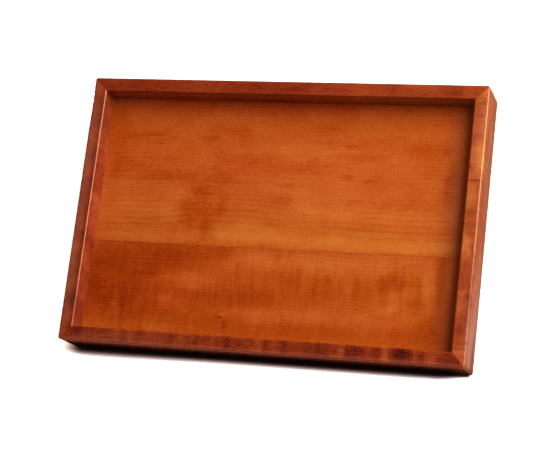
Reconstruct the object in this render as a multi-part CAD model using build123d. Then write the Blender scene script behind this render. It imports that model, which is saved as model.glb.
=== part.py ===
"""A mitred wooden serving tray with a floating two-board floor.

Four rails meet in glued mitres, each stiffened by a hidden spline that is let in from below and stops
short of the rim. The floor is two boards, edge-glued over a loose tongue. A tongue worked round the
floor's edge sits in a groove in the rails, where it is free to swell. Felt pads under the long rails
carry the tray.

Millimetres. +X runs along the tray, +Y from the front rail to the back rail, +Z up. The origin is on the
table, under the middle of the tray.
"""
from build123d import *
from math import sqrt
import os

# The rails
tray_length = 457.0
tray_width = 305.0
rail_height = 50.0
rail_thickness = 15.9
rim_edge_radius = 2.2
base_edge_radius = 2.0
corner_radius = 4.0
mitre_angle = 45.0

# The floor: how deep it lies, its boards and the tongue round its edge
well_depth = 25.4
floor_thickness = 9.5
narrow_board_show = 104.0
tongue_thickness = 5.5
tongue_drop = 0.6
board_edge_ease = 0.25
floor_end_gap = 0.3
floor_side_gap = 0.8

# The groove in the rails that holds the floor
groove_depth = 7.5
groove_headroom = 0.2
swelling_room = 1.5
end_room = 0.5

# The loose tongue between the two boards
loose_tongue_thickness = 3.0
loose_tongue_reach = 6.0
loose_tongue_setback = 12.0
loose_tongue_glue_gap = 0.3

# The spline in each mitre
spline_thickness = 3.0
spline_reach = 6.0
spline_place = 8.0
spline_stop = 10.0
spline_glue_gap = 0.2
spline_clearance = 0.5

# The felt pads
pad_diameter = 11.0
pad_thickness = 2.0
pad_edge_radius = 0.5
pad_setback = 34.0

# How far a cutter runs past what it cuts
overrun = 2.0

# Heights above the table
rail_base_z = pad_thickness
rim_z = rail_base_z + rail_height
floor_top_z = rim_z - well_depth
floor_base_z = floor_top_z - floor_thickness
tongue_top_z = floor_top_z - tongue_drop
tongue_base_z = tongue_top_z - tongue_thickness
groove_top_z = tongue_top_z + groove_headroom
floor_middle_z = (floor_base_z + floor_top_z) / 2

# The opening inside the rails, and the floor that fills it
inner_length = tray_length - 2 * rail_thickness
inner_width = tray_width - 2 * rail_thickness
field_length = inner_length - 2 * floor_end_gap
field_width = inner_width - 2 * floor_side_gap
tongue_end_reach = groove_depth - end_room
tongue_side_reach = groove_depth - swelling_room
seam_y = narrow_board_show - inner_width / 2

# The floor's corners are clipped where the mitre splines pass
spline_near_side = spline_place - spline_thickness / 2 - spline_clearance
corner_clip = tongue_end_reach + tongue_side_reach - sqrt(2) * spline_near_side

SIDES = {"left": -1, "right": 1}
ENDS = {"front": -1, "back": 1}


def upright_box(length, width, low_z, high_z):
    """A box centred on the tray's upright axis, between two heights."""
    return Pos(0, 0, (low_z + high_z) / 2) * Box(length, width, high_z - low_z)


def frame_ring():
    """The four rails as one ring: edges rounded over, outer corners eased, floor groove cut."""
    low_z = rail_base_z - overrun
    high_z = rim_z + overrun
    block = upright_box(tray_length, tray_width, rail_base_z, rim_z)
    ring = block - upright_box(inner_length, inner_width, low_z, high_z)
    ring = fillet(ring.faces().sort_by(Axis.Z)[-1].edges(), rim_edge_radius)
    ring = fillet(ring.faces().sort_by(Axis.Z)[0].edges(), base_edge_radius)
    eased_block = upright_box(tray_length, tray_width, low_z, high_z)
    ring &= fillet(eased_block.edges().filter_by(Axis.Z), corner_radius)
    groove_length = inner_length + 2 * groove_depth
    groove_width = inner_width + 2 * groove_depth
    return ring - upright_box(groove_length, groove_width, tongue_base_z, groove_top_z)


def mitre_wedge(along_x, side):
    """The space that one rail keeps, between the two mitre planes at its ends."""
    outer = (tray_length / 2 + overrun, tray_width / 2 + overrun)
    inner = (inner_length / 2 - overrun, inner_width / 2 - overrun)
    if along_x:
        corners = [
            (-outer[0], side * outer[1]),
            (outer[0], side * outer[1]),
            (inner[0], side * inner[1]),
            (-inner[0], side * inner[1]),
        ]
    else:
        corners = [
            (side * outer[0], -outer[1]),
            (side * outer[0], outer[1]),
            (side * inner[0], inner[1]),
            (side * inner[0], -inner[1]),
        ]
    outline = make_face(Polyline(*corners, close=True))
    wedge = extrude(outline, amount=rail_height + 2 * overrun, dir=(0, 0, 1))
    return Pos(0, 0, rail_base_z - overrun) * wedge


def spline_block(end, side, reach, low_z, high_z):
    """A block across one mitre, centred on the spline's place."""
    from_inner_corner = spline_place / sqrt(2)
    place = Pos(
        side * (inner_length / 2 + from_inner_corner),
        end * (inner_width / 2 + from_inner_corner),
        (low_z + high_z) / 2,
    )
    across_mitre = Rot(0, 0, -mitre_angle * end * side)
    return place * across_mitre * Box(2 * reach, spline_thickness, high_z - low_z)


def spline(end, side):
    """The spline itself, a little shorter and narrower than its slot for the glue."""
    top_z = rim_z - spline_stop - spline_glue_gap
    return spline_block(end, side, spline_reach, rail_base_z, top_z)


def spline_slot(end, side):
    """The slot for a spline, open at the rails' underside."""
    reach = spline_reach + spline_glue_gap
    return spline_block(end, side, reach, rail_base_z - overrun, rim_z - spline_stop)


def rails():
    """The rails by name, with their mitres and spline slots cut."""
    ring = frame_ring()
    for end in ENDS.values():
        for side in SIDES.values():
            ring -= spline_slot(end, side)
    cut = {f"{name}_rail": ring & mitre_wedge(True, end) for name, end in ENDS.items()}
    cut.update({f"{name}_rail": ring & mitre_wedge(False, side) for name, side in SIDES.items()})
    return cut


def floor_blank():
    """The floor as one board: the field inside the rails and the tongue round it."""
    field = upright_box(field_length, field_width, floor_base_z, floor_top_z)
    field = fillet(field.faces().sort_by(Axis.Z)[-1].edges(), board_edge_ease)
    tongue = upright_box(
        inner_length + 2 * tongue_end_reach,
        inner_width + 2 * tongue_side_reach,
        tongue_base_z,
        tongue_top_z,
    )
    tongue = chamfer(tongue.edges().filter_by(Axis.Z), corner_clip)
    return field + tongue


def loose_tongue_block(reach, end_gap, thickness):
    """A strip along the seam, inside the thickness of both boards."""
    length = inner_length - 2 * loose_tongue_setback + 2 * end_gap
    return Pos(0, seam_y, floor_middle_z) * Box(length, 2 * reach, thickness)


def floor_boards():
    """The two boards by name, slotted for the loose tongue."""
    blank = floor_blank() - loose_tongue_block(
        loose_tongue_reach + loose_tongue_glue_gap, loose_tongue_glue_gap, loose_tongue_thickness
    )
    reach = tray_width + overrun
    keep = Box(tray_length, reach, 2 * rail_height)
    behind = Pos(0, seam_y + reach / 2, floor_middle_z) * keep
    ahead = Pos(0, seam_y - reach / 2, floor_middle_z) * keep
    return {"wide_floor_board": blank & behind, "narrow_floor_board": blank & ahead}


def pad(end, side):
    """One felt pad under a long rail, its lower edge rounded."""
    disc = Cylinder(pad_diameter / 2, pad_thickness, align=(Align.CENTER, Align.CENTER, Align.MIN))
    disc = fillet(disc.faces().sort_by(Axis.Z)[0].edges(), pad_edge_radius)
    x = side * (tray_length / 2 - pad_setback)
    y = end * (tray_width - rail_thickness) / 2
    return Pos(x, y, 0) * disc


def tray():
    """Every piece of the tray, by node name."""
    pieces = rails()
    pieces.update(floor_boards())
    pieces["floor_loose_tongue"] = loose_tongue_block(
        loose_tongue_reach, 0, loose_tongue_thickness
    )
    for end_name, end in ENDS.items():
        for side_name, side in SIDES.items():
            pieces[f"mitre_spline_{end_name}_{side_name}"] = spline(end, side)
            pieces[f"felt_pad_{end_name}_{side_name}"] = pad(end, side)
    return pieces


os.makedirs("parts", exist_ok=True)
for node, piece in tray().items():
    export_step(piece, f"parts/{node}.step")
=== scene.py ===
"""A mitred wooden tray: figured boards under red-brown stain and satin lacquer, on felt pads."""

import math

import bmesh
import bpy
from mathutils import Matrix, Vector, noise


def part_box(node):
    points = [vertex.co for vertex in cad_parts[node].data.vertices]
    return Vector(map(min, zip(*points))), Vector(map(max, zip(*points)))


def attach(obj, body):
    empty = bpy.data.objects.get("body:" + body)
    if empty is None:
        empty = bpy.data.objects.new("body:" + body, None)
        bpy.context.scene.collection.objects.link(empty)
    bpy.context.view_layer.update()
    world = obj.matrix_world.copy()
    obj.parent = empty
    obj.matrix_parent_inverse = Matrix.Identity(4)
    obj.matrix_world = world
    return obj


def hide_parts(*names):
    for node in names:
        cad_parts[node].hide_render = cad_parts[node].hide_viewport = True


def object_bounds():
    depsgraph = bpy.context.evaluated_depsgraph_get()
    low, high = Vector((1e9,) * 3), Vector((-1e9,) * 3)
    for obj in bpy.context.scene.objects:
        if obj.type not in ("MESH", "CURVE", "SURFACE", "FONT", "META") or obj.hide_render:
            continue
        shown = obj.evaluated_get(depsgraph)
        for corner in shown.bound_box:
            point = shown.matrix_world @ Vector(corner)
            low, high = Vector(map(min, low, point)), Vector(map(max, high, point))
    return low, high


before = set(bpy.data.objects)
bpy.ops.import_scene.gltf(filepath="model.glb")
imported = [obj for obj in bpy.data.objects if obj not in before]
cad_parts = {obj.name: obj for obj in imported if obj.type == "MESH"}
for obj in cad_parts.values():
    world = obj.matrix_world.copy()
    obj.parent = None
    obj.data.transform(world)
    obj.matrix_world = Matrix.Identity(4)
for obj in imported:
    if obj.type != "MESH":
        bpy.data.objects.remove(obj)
cad_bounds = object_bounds()
scene = bpy.context.scene

MM = 0.001


def measured(length):
    """A length of the CAD pieces, to the nearest micrometre."""
    return round(length / MM, 3) * MM


# The tray's own sizes
tray_low, tray_high = cad_bounds
rail_low, rail_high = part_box("front_rail")
board_low, board_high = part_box("wide_floor_board")
TRAY_LENGTH = measured(tray_high[0] - tray_low[0])
TRAY_WIDTH = measured(tray_high[1] - tray_low[1])
RAIL_THICKNESS = measured(rail_high[1] - rail_low[1])
RIM_Z = measured(tray_high[2])
FLOOR_TOP_Z = measured(board_high[2])
SEAM_Y = measured(board_low[1])
INNER_X = TRAY_LENGTH / 2 - RAIL_THICKNESS
INNER_Y = TRAY_WIDTH / 2 - RAIL_THICKNESS


# Node trees


def srgb(red, green, blue):
    """A colour as the eye reads it, 0 to 255, turned into light."""
    light = []
    for value in (red, green, blue):
        share = value / 255
        light.append(share / 12.92 if share <= 0.04045 else ((share + 0.055) / 1.055) ** 2.4)
    return (*light, 1.0)


class Tree:
    """A node tree and short words for laying out its nodes."""

    def __init__(self, tree):
        self.nodes = tree.nodes
        self.links = tree.links
        self.nodes.clear()

    def add(self, kind, inputs=None, **settings):
        node = self.nodes.new(kind)
        for key, value in settings.items():
            setattr(node, key, value)
        for key, value in (inputs or {}).items():
            if isinstance(value, bpy.types.NodeSocket):
                self.links.new(value, node.inputs[key])
            else:
                node.inputs[key].default_value = value
        return node

    def math(self, operation, first, second=0.0, third=0.0):
        return self.add(
            "ShaderNodeMath", {0: first, 1: second, 2: third}, operation=operation
        ).outputs[0]

    def vector(self, operation, first, second):
        return self.add(
            "ShaderNodeVectorMath", {0: first, 1: second}, operation=operation
        ).outputs[0]

    def length(self, vector):
        return self.add("ShaderNodeVectorMath", {0: vector}, operation="LENGTH").outputs["Value"]

    def noise(self, place, features, detail=2.0, roughness=0.5, warp=0.0):
        """Smooth noise from 0 to 1, with so many features a metre along each axis."""
        return self.add(
            "ShaderNodeTexNoise",
            {
                "Vector": self.vector("MULTIPLY", place, features),
                "Scale": 1.0,
                "Detail": detail,
                "Roughness": roughness,
                "Distortion": warp,
            },
        ).outputs["Fac"]

    def span(self, value, low, high, to_low=0.0, to_high=1.0):
        """value from low to high, eased into to_low to to_high."""
        ends = {"From Min": low, "From Max": high, "To Min": to_low, "To Max": to_high}
        return self.add(
            "ShaderNodeMapRange", {"Value": value, **ends}, interpolation_type="SMOOTHSTEP"
        ).outputs["Result"]

    def swing(self, total, value, weight):
        """total, and value's distance from the middle times weight."""
        return self.math("MULTIPLY_ADD", self.math("SUBTRACT", value, 0.5), weight, total)

    def weighted(self, total, parts):
        """total, and each of the parts times its weight."""
        for value, weight in parts:
            total = self.math("MULTIPLY_ADD", value, weight, total)
        return total

    def attribute(self, name):
        return self.add("ShaderNodeAttribute", attribute_name=name).outputs["Fac"]

    def ramp(self, value, stops):
        node = self.add("ShaderNodeValToRGB", {"Fac": value})
        elements = node.color_ramp.elements
        while len(elements) < len(stops):
            elements.new(1.0)
        for element, (position, colour) in zip(elements, stops):
            element.position = position
            element.color = colour
        return node.outputs["Color"]

    def mix(self, share, first, second, blend="MIX"):
        return self.add(
            "ShaderNodeMix", {0: share, 6: first, 7: second}, data_type="RGBA", blend_type=blend
        ).outputs[2]

    def mix_shader(self, share, first, second):
        return self.add(
            "ShaderNodeMixShader", {0: share, 1: first.outputs[0], 2: second.outputs[0]}
        )

    def finish(self, shader, output="ShaderNodeOutputMaterial"):
        self.add(output, {"Surface": shader.outputs[0]})


def new_material(name):
    """A material without nodes, and its tree."""
    material = bpy.data.materials.new(name)
    material.use_nodes = True
    return material, Tree(material.node_tree)


# Wood

# Each noise by its place, features a metre along, across and into the grain, detail,
# roughness and warp
WOOD_NOISES = {
    "ring_drift": ("grain", (1.3, 34, 34), 2, 0.5, 0.0),
    "fibre": ("grain", (130, 820, 820), 2.5, 0.6, 0.0),
    "fleck": ("grain", (430, 720, 720), 2, 0.6, 0.0),
    "dash": ("grain", (170, 520, 520), 1, 0.5, 0.0),
    "pore": ("grain", (160, 3200, 3200), 1, 0.4, 0.0),
    "mottle": ("along", (26, 46, 46), 5, 0.66, 0.35),
    "cloud": ("along", (8, 17, 17), 2, 0.5, 0.0),
    "curl_here": ("along", (10, 19, 19), 1, 0.5, 0.0),
    "curl": ("leaning", (125, 22, 22), 2.5, 0.55, 0.5),
    "columns": ("leaning", (240, 30, 30), 2, 0.6, 0.0),
}
# Of these noises only the peaks count, from the first level up to the second
PEAKS = {"dash": (0.60, 0.72), "pore": (0.66, 0.76), "curl_here": (0.40, 0.62)}

# How far the fibres and the curl sway, and the rings drift
SWAY_FEATURES = 9.0
SWAY_DETAIL = 1.5
GRAIN_SWAY = 6 * MM
CURL_SWAY = 16 * MM
RING_DRIFT = 1.8

# The tone: where lines and strokes begin and end, how much noise frays them, and two tints
LATEWOOD_LEVELS = (-0.2, 1.0)
LINE_GAIN = 1.4
BRUSH_FRAY = 0.35
BRUSH_LEVELS = (-0.05, 1.15)
TONE_TO_RAMP = 0.8
GOLD_FRAY = 0.4
GOLD = (1.04, 1.25, 1.16, 1.0)
PLUM = (0.96, 0.62, 0.95, 1.0)

# The finish: its relief, what makes it rougher, and the colour of its glints
BUMP_HEIGHTS = {"fibre": 0.35, "fleck": 0.3, "curl": 0.2, "pore": -0.5}
BUMP_DISTANCE = 0.12 * MM
BUMP_STRENGTH = 0.4
POLISHED_BUMP_LOSS = 1.1
ROUGHER = {"fibre": 0.14, "pore": 0.2}
DULL_ROUGHNESS = 0.35
STAIN_GLINT = (1.0, 0.52, 0.28, 1.0)
LACQUER_IOR = 1.5


def wood_places(tree, look):
    """The point along the grain, the same with the fibres' sway, and the same with the curl's."""
    turn = look["lean"] + (90 if look["across"] else 0)
    along = tree.add(
        "ShaderNodeMapping",
        {
            "Vector": tree.add("ShaderNodeTexCoord").outputs["Object"],
            "Location": look["offset"],
            "Rotation": (0, 0, math.radians(turn)),
        },
    ).outputs["Vector"]
    drift = tree.add(
        "ShaderNodeTexNoise", {"Vector": along, "Scale": SWAY_FEATURES, "Detail": SWAY_DETAIL}
    ).outputs["Color"]
    sway = tree.vector("SUBTRACT", drift, (0.5, 0.5, 0.5))
    bend = tree.add("ShaderNodeCombineXYZ", {"Y": tree.attribute("bend")}).outputs[0]
    swayed = tree.vector(
        "ADD", along, tree.vector("MULTIPLY", sway, (0.0, GRAIN_SWAY, GRAIN_SWAY))
    )
    return {
        "along": along,
        "grain": tree.vector("SUBTRACT", swayed, bend),
        "leaning": tree.vector(
            "ADD", along, tree.vector("MULTIPLY", sway, (CURL_SWAY, 0.0, 0.0))
        ),
    }


def wood_texture(tree, places):
    """Each noise of the wood, by its name."""
    texture = {}
    for name, (place, features, detail, roughness, warp) in WOOD_NOISES.items():
        texture[name] = tree.noise(places[place], features, detail, roughness, warp)
        if name in PEAKS:
            texture[name] = tree.span(texture[name], *PEAKS[name])
    return texture


def latewood(tree, look, grain, drift):
    """The dark lines of growth rings round a pith far below the surface."""
    from_pith = tree.vector("SUBTRACT", grain, look["pith"])
    distance = tree.length(tree.vector("MULTIPLY", from_pith, (0.0, 1.0, 1.0)))
    drifted = tree.math("MULTIPLY", drift, RING_DRIFT)
    phase = tree.math("MULTIPLY_ADD", distance, 1 / look["ring"], drifted)
    rings = tree.math("SINE", tree.math("MULTIPLY", phase, math.tau))
    return tree.span(rings, *LATEWOOD_LEVELS)


def wood_tone(tree, look, texture):
    """How pale the wood is: its placed figure with some painted light and shade, its broad noises,
    brush strokes and worn edges.
    """
    tone = tree.math("ADD", tree.attribute("figure_and_painted_light"), look["tone"])
    curl_weight = tree.math("MULTIPLY", texture["curl_here"], look["curl"])
    tone = tree.swing(tone, texture["mottle"], look["mottle"])
    tone = tree.swing(tone, texture["cloud"], look["cloud"])
    tone = tree.swing(tone, texture["curl"], curl_weight)
    tone = tree.swing(tone, texture["columns"], look["curtain"])
    frayed = tree.swing(tree.attribute("brush"), texture["columns"], BRUSH_FRAY)
    brush = tree.span(frayed, *BRUSH_LEVELS)
    return tree.weighted(
        tone, ((brush, -look["brush"]), (tree.attribute("wear"), look["wear"]))
    )


def fine_grain(tree, look, texture, rings):
    """What the fibres, flecks, dashes, rings and pores add to the colour."""
    fine = tree.swing(0.0, texture["fibre"], look["fibre"])
    fine = tree.swing(fine, texture["fleck"], look["fleck"])
    ring_share = tree.weighted(
        look["rings"], ((tree.attribute("lines"), look["rings"] * LINE_GAIN),)
    )
    for value, weight in (
        (texture["dash"], look["dash"]),
        (rings, ring_share),
        (texture["pore"], look["pore"]),
    ):
        fine = tree.math("SUBTRACT", fine, tree.math("MULTIPLY", value, weight))
    return tree.vector("MULTIPLY", fine, look["fine_colour"])


def wood_colour(tree, look, texture, rings):
    tone = wood_tone(tree, look, texture)
    colour = tree.ramp(tree.math("MULTIPLY", tone, TONE_TO_RAMP), look["stops"])
    gold_here = tree.swing(tree.attribute("gold"), texture["mottle"], GOLD_FRAY)
    for full_at, tint in ((1.0, GOLD), (-1.0, PLUM)):
        tinted = tree.mix(1.0, colour, tint, "MULTIPLY")
        colour = tree.mix(tree.span(gold_here, 0.0, full_at), colour, tinted)
    colour = tree.vector("ADD", colour, fine_grain(tree, look, texture, rings))
    # Painted reflection: the colour is mixed towards a pale pinkish sheen where its painted sheen
    # layer says
    colour = tree.mix(tree.attribute("haze"), colour, look["haze"])
    return tree.mix(tree.attribute("joint"), colour, look["glue"])


def wood(name, look):
    """Figured, stained and lacquered wood, its grain along X, or along Y where look says across."""
    material, tree = new_material(name)
    places = wood_places(tree, look)
    texture = wood_texture(tree, places)
    rings = latewood(tree, look, places["grain"], texture["ring_drift"])
    dull = tree.attribute("dull")
    height = tree.weighted(0.0, [(texture[key], share) for key, share in BUMP_HEIGHTS.items()])
    polished = tree.math("MINIMUM", dull, 0.0)
    strength = tree.math("MULTIPLY_ADD", polished, POLISHED_BUMP_LOSS, BUMP_STRENGTH)
    bump = tree.add(
        "ShaderNodeBump", {"Height": height, "Strength": strength, "Distance": BUMP_DISTANCE}
    ).outputs["Normal"]
    roughness = tree.weighted(
        look["roughness"], [(texture[key], share) for key, share in ROUGHER.items()]
    )
    shader = tree.add(
        "ShaderNodeBsdfPrincipled",
        {
            "Base Color": wood_colour(tree, look, texture, rings),
            "Roughness": tree.weighted(roughness, ((dull, DULL_ROUGHNESS),)),
            "Normal": bump,
            "IOR": LACQUER_IOR,
            "Specular IOR Level": look["shine"],
            "Specular Tint": STAIN_GLINT,
        },
    )
    tree.finish(shader)
    return material


# Shapes

AXES = [Vector((1, 0, 0)), Vector((0, 1, 0)), Vector((0, 0, 1))]
SAME_POINT = 0.002 * MM
SAME_PLANE = 0.004 * MM
FLAT_ANGLE = math.radians(0.4)
SHARP_ANGLE = math.radians(28)


def all_parts(work):
    return work.verts[:] + work.edges[:] + work.faces[:]


def cut_copy(node, steps, extra_cuts=()):
    """A CAD piece's mesh in small faces, cut at every step along each axis and at extra planes."""
    work = bmesh.new()
    work.from_mesh(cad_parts[node].data)
    bmesh.ops.remove_doubles(work, verts=work.verts, dist=SAME_POINT)
    bmesh.ops.dissolve_limit(work, angle_limit=FLAT_ANGLE, verts=work.verts, edges=work.edges)
    low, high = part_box(node)
    cuts = list(extra_cuts)
    for axis, step in enumerate(steps):
        if not step:
            continue
        count = max(1, round((high[axis] - low[axis]) / step))
        for index in range(1, count):
            place = low[axis] + (high[axis] - low[axis]) * index / count
            cuts.append((AXES[axis] * place, AXES[axis]))
    for place, normal in cuts:
        bmesh.ops.bisect_plane(
            work, geom=all_parts(work), plane_co=place, plane_no=normal, dist=SAME_PLANE
        )
    work.normal_update()
    return work


def shape_and_paint(work, shift_of, values_of):
    """Every point moved by its own small shift. Gives the values at the points, layer by layer."""
    layers = {}
    shifts = []
    for vertex in work.verts:
        shifts.append(shift_of(vertex))
        for key, value in values_of(vertex.co).items():
            layers.setdefault(key, []).append(value)
    for vertex, shift in zip(work.verts, shifts):
        vertex.co += shift
    return layers


def as_piece(work, name, node, material, layers):
    """The finished mesh as an object that stands for a CAD node."""
    mesh = bpy.data.meshes.new(name)
    work.to_mesh(mesh)
    work.free()
    for key, values in layers.items():
        layer = mesh.attributes.new(key, "FLOAT", "POINT")
        layer.data.foreach_set("value", values)
    mesh.polygons.foreach_set("use_smooth", [True] * len(mesh.polygons))
    mesh.set_sharp_from_angle(angle=SHARP_ANGLE)
    piece = bpy.data.objects.new(name, mesh)
    scene.collection.objects.link(piece)
    piece.data.materials.append(material)
    weigh = piece.modifiers.new("even shading", "WEIGHTED_NORMAL")
    weigh.keep_sharp = True
    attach(piece, "root")
    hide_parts(node)
    return piece


def bell(distance, width):
    """1 at no distance, falling smoothly to nothing at a few widths."""
    return math.exp(-((distance / width) ** 2))


def rise(value, start, over):
    """0 up to start, then straight up to 1 over a length."""
    return min(max((value - start) / over, 0.0), 1.0)


def ripple(x, y, length, width, layer):
    """Smooth noise from -1 to 1, with features of one length and width. Layers differ."""
    return noise.noise(Vector((x / length, y / width, layer)))


def waviness(point, features):
    """Smooth noise from 0 to 1, with so many features a metre."""
    return noise.noise(point * features) * 0.5 + 0.5


# A patch fades by this power of the squared distance, in half sizes. Past the edge it is none
PATCH_FALL = 1.5
PATCH_EDGE = 4.0


def patch_sum(x, y, patches):
    """What soft patches add at a point. Each is x, y and two half sizes in mm, and a share."""
    total = 0.0
    for px, py, a, b, share in patches:
        away = ((x - px * MM) / (a * MM)) ** 2 + ((y - py * MM) / (b * MM)) ** 2
        if away < PATCH_EDGE:
            total += share * math.exp(-(away ** PATCH_FALL))
    return total


# Rails

# Each rail's axis, and the side of the tray that it is on
RAILS = {
    "front_rail": (0, -1),
    "back_rail": (0, 1),
    "left_rail": (1, -1),
    "right_rail": (1, 1),
}
INNER = (INNER_X, INNER_Y)

RAIL_STEP_ALONG = 2.0 * MM
RAIL_STEP_ACROSS = 1.9 * MM
RAIL_STEP_DOWN = 4.5 * MM
MITRE_STRIPS = (0.15 * MM, 0.6 * MM)
RAIL_WAVE = 0.03 * MM
RAIL_WAVE_FEATURES = 45
MITRE_DIP = 0.05 * MM
MITRE_DIP_WIDTH = 0.14 * MM
MITRE_GLUE = 0.25
MITRE_GLUE_WIDTH = 0.2 * MM

# How the figure leans as it goes down the walls, and frays
FIGURE_LEAN = 0.25
FRAY_SIZE = (6 * MM, 14 * MM, 30 * MM)
FRAY_ALONG = 1.2 * MM
FRAY_ACROSS = 2.5 * MM

# Depths below the rim: where a wall's tone (partly painted light and shade, lighter or darker
# towards the foot) and its patches begin, and how far its foot is
WALL_TONE_FROM = 1.5 * MM
WALL_TONE_OVER = 3 * MM
WALL_PATCHES_FROM = 2 * MM
WALL_PATCHES_OVER = 2 * MM
WALL_FOOT = 40 * MM

# The painted sheen (a pale reflection painted into the colour) along the outer rim edge, and what
# is left of the rim's painted sheen on the inner wall
EDGE_INSET = 1 * MM
EDGE_WIDTH = 1.8 * MM
EDGE_DEPTH = 2.5 * MM
RIM_DEPTH = 2.5 * MM
INNER_WALL_PAINTED_SHEEN = 0.1
MOST_PAINTED_SHEEN = 0.95
OUTER_GOLD_LOSS = 0.8

# The worn rim edges
WEAR_WIDTH = 2.0 * MM
WEAR = 0.75
WEAR_UNEVENNESS = 0.5
WEAR_FEATURES = 80


def rail_place(rail, point):
    """Where a point lies in a rail: along it, out from its inner face, and in from its mitre."""
    axis, side = rail
    along = point[axis]
    out = point[1 - axis] * side - INNER[1 - axis]
    return along, out, (INNER[axis] + out - abs(along)) / math.sqrt(2)


def mitre_cuts(rail):
    """Planes close beside the mitres, so that the glue line has narrow faces of its own."""
    axis, side = rail
    cuts = []
    for end in (-1, 1):
        corner = Vector((0, 0, 0))
        corner[axis] = end * INNER[axis]
        corner[1 - axis] = side * INNER[1 - axis]
        normal = Vector((0, 0, 0))
        normal[axis] = end
        normal[1 - axis] = -side
        normal.normalize()
        cuts += [(corner - normal * depth, normal) for depth in MITRE_STRIPS]
    return cuts


def rail_values(rail, look, point):
    """The figure with painted light and shade, the painted sheen, wear and so on at one point of a
    rail.
    """
    along, out, from_mitre = rail_place(rail, point)
    drop = RIM_Z - point.z
    outer_half = out > RAIL_THICKNESS / 2
    fray = noise.noise(Vector((along / FRAY_SIZE[0], out / FRAY_SIZE[1], point.z / FRAY_SIZE[2])))
    lean = FIGURE_LEAN * drop
    on_rim = (along + lean + FRAY_ALONG * fray, out + FRAY_ACROSS * fray)
    on_wall = (along + lean, drop + FRAY_ACROSS * fray)
    outer_wall = rise(drop, WALL_PATCHES_FROM, WALL_PATCHES_OVER) if outer_half else 0.0

    # Each wall's tone, changing from top to foot, is partly painted light and shade: the front
    # outer wall is painted down to near black at its foot
    top, foot = look["inner_wall" if out < RAIL_THICKNESS / 2 else "outer_wall"]
    wall = rise(drop, WALL_TONE_FROM, WALL_TONE_OVER)
    wall *= top + (foot - top) * min(drop / WALL_FOOT, 1.0)
    wall += outer_wall * patch_sum(*on_wall, look["outer_grain_and_painted_light"])

    # Painted reflection: a pale sheen along the outer rim edge, and in patches on the rim and on
    # the outer wall
    at_edge = bell(out - RAIL_THICKNESS + EDGE_INSET, EDGE_WIDTH) * bell(drop, EDGE_DEPTH)
    on_top = 1.0 if drop < RIM_DEPTH or outer_half else INNER_WALL_PAINTED_SHEEN
    haze = on_top * patch_sum(*on_rim, look["painted_sheens"]) + look["edge_painted_sheen"] * at_edge
    haze += outer_wall * patch_sum(*on_wall, look["outer_painted_sheens"])
    to_edge = min(math.hypot(out, drop), math.hypot(RAIL_THICKNESS - out, drop))
    unevenness = WEAR_UNEVENNESS * noise.noise(point * WEAR_FEATURES)
    return {
        "figure_and_painted_light": patch_sum(*on_rim, look["patches"]) * look["depth"] + wall,
        "gold": patch_sum(*on_rim, look["golds"]) * (1 - OUTER_GOLD_LOSS * outer_wall),
        "dull": patch_sum(*on_rim, look["dulls"]) - look["wall_polish"] * outer_wall,
        "haze": min(haze, MOST_PAINTED_SHEEN),
        "joint": MITRE_GLUE * bell(from_mitre, MITRE_GLUE_WIDTH),
        "wear": bell(to_edge, WEAR_WIDTH) * (WEAR + unevenness),
    }


def build_rail(node, material, look):
    rail = RAILS[node]
    steps = [RAIL_STEP_ACROSS, RAIL_STEP_ACROSS, RAIL_STEP_DOWN]
    steps[rail[0]] = RAIL_STEP_ALONG
    work = cut_copy(node, steps, mitre_cuts(rail))

    def shift_of(vertex):
        wave = RAIL_WAVE * waviness(vertex.co, RAIL_WAVE_FEATURES)
        dip = MITRE_DIP * bell(rail_place(rail, vertex.co)[2], MITRE_DIP_WIDTH)
        return vertex.normal * (-wave - dip)

    layers = shape_and_paint(work, shift_of, lambda point: rail_values(rail, look, point))
    return as_piece(work, node + "_figured", node, material, layers)


# Boards

SEAM_STRIPS = (0.15 * MM, 0.45 * MM, 0.9 * MM)
BOARD_WAVE = 0.04 * MM
BOARD_WAVE_FEATURES = 25
SEAM_DIP = 0.03 * MM
SEAM_DIP_WIDTH = 0.3 * MM
SEAM_GLUE = 0.26
SEAM_GLUE_WIDTH = 0.28 * MM
FIGURE_DEPTH = 0.72

# The boards' ends are drawn out to the end rails, and stay this far short of them
END_ZONE = (0.7 * MM, 0.1 * MM)
END_TOP_ZONE = 0.5 * MM
END_GAP = 0.02 * MM
END_DROP = 0.03 * MM

# Where the wide board's grain turns away from the straight, left of the middle
BEND_FROM_X = -100 * MM
BEND_WIDTH = 60 * MM


def feather(x, y):
    """A point moved a little, fibre by fibre, so that a patch ends in fine strokes."""
    fibre = ripple(x, y, length=35 * MM, width=2.6 * MM, layer=0.0)
    wave = ripple(x, y, length=4.5 * MM, width=40 * MM, layer=7.0)
    along, across = 7 * MM, 2.5 * MM
    return x + along * fibre, y + across * wave


def combed(x, y):
    """A point moved a little, column by column, so that strokes across the grain end raggedly."""
    column = ripple(x, y, length=3.2 * MM, width=30 * MM, layer=3.0)
    drift = ripple(x, y, length=30 * MM, width=11 * MM, layer=5.0)
    along, across = 1.6 * MM, 6.5 * MM
    return x + along * drift, y + across * column


def board_shift(vertex):
    """A board's faint waves, the dip at its seam, and its ends drawn out to the rails."""
    x, y, z = vertex.co
    wave = BOARD_WAVE * waviness(vertex.co, BOARD_WAVE_FEATURES)
    dip = SEAM_DIP * bell(abs(y - SEAM_Y), SEAM_DIP_WIDTH)
    shift = vertex.normal * (-wave - dip)
    if INNER_X - END_ZONE[0] < abs(x) < INNER_X - END_ZONE[1]:
        shift.x += math.copysign(INNER_X - END_GAP - abs(x), x)
        if z > FLOOR_TOP_Z - END_TOP_ZONE:
            shift.z = FLOOR_TOP_Z - END_DROP - z
    return shift


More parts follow.
